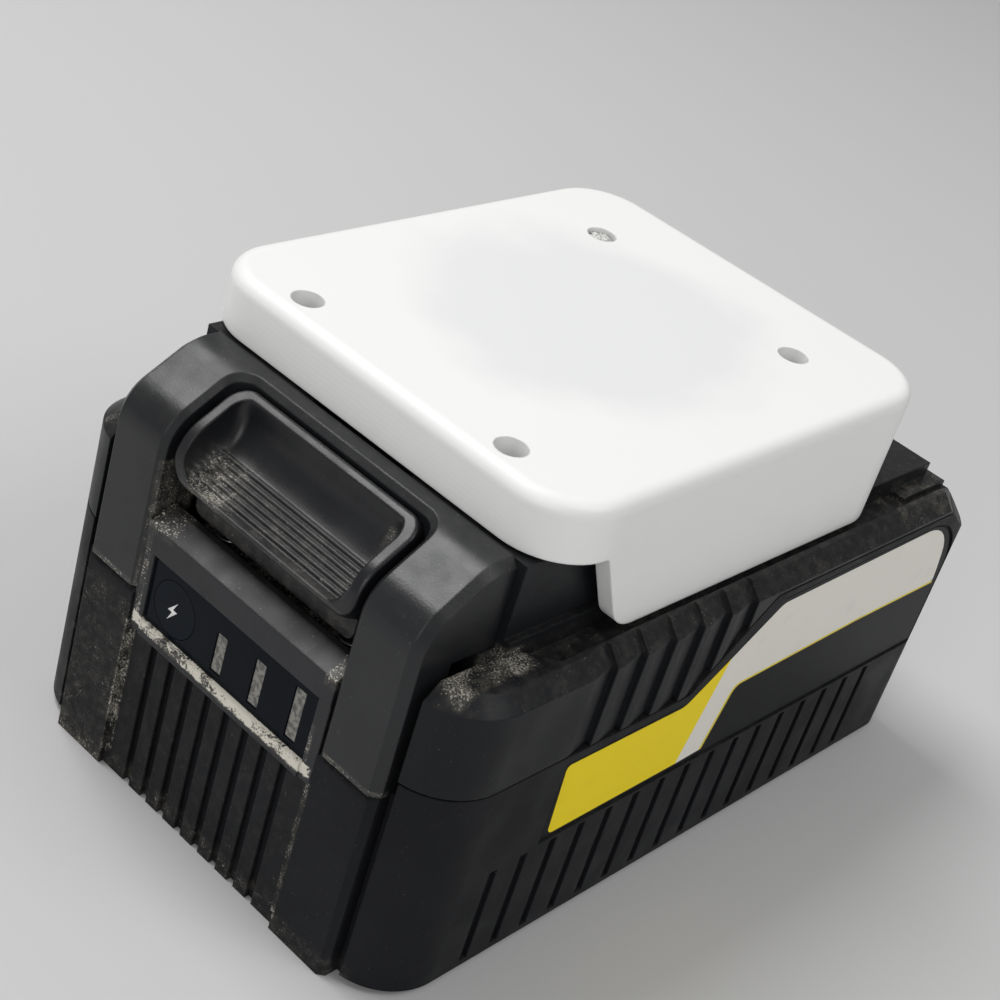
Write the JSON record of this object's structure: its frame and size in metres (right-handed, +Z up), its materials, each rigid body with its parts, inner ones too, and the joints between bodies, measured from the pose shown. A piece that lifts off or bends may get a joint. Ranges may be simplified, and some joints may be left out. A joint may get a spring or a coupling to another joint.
{
  "type": "tool battery holder",
  "caption": "Flat screw-on holder with side lips for a slide-rail tool battery, with the battery locked in it: release button in a front frame, charge gauge, ribbed case.",
  "frame": {"origin": "middle of the battery's footprint, on its underside", "axes": "+X to the battery's right side (the side with the label) seen from behind the button, +Y from the release button to the rear, +Z up out of the holder's screw face"},
  "size_m": [0.075, 0.122, 0.07],
  "materials": {
    "printed_white": "matte, fine layer lines",
    "case_black": "fine-grained, matte",
    "lid_black": "fine-grained, matte",
    "frame_black": "soft-touch, matte",
    "button_black": "satin",
    "hook_black": "satin",
    "spring_steel": "satin wire",
    "gauge_black": "satin",
    "window_dark": "glossy",
    "key_dark": "glossy",
    "light_grey": "frosted",
    "board_green": "satin",
    "cell_sleeve": "satin sleeve",
    "tray_black": "satin",
    "nickel": "satin",
    "paper": "matte paper",
    "foam": "open foam",
    "carrier_black": "satin",
    "contact_metal": "satin",
    "screw_steel": "blackened",
    "label_film": "satin film"
  },
  "bodies": {
    "holder": {"holder_shell": "printed_white"},
    "pack": {"lower_case": "case_black", "upper_case": "lid_black", "front_frame": "frame_black", "gauge_frame": "gauge_black", "gauge_window": "window_dark", "light_bars": "light_grey", "gauge_board": "board_green", "cells": "cell_sleeve", "cell_frame_left": "tray_black", "cell_frame_right": "tray_black", "cell_tabs_left": "nickel", "cell_tabs_right": "nickel", "insulator_left": "paper", "insulator_right": "paper", "cell_pad": "foam", "control_board": "board_green", "terminal_carrier": "carrier_black", "terminal_contacts": "contact_metal", "case_screws": "screw_steel", "side_label": "label_film"},
    "release": {"release_button": "button_black", "latch_hook": "hook_black", "latch_springs": "spring_steel"},
    "key": {"gauge_key": "key_dark"}
  },
  "joints": [
    {"name": "pack_slide", "type": "slide", "parent": "holder", "child": "pack", "axis": [0, -1, 0], "range_m": [0, 0.09]},
    {"name": "release_press", "type": "slide", "parent": "pack", "child": "release", "axis": [0, 0, -1], "range_m": [0, 0.0036], "stiffness_N_per_m": 1500, "springref_m": -0.002, "deforming": ["latch_springs"]},
    {"name": "gauge_key_press", "type": "slide", "parent": "pack", "child": "key", "axis": [0, 1, 0], "range_m": [0, 0.0005], "stiffness_N_per_m": 2000, "springref_m": -0.0005}
  ]
}
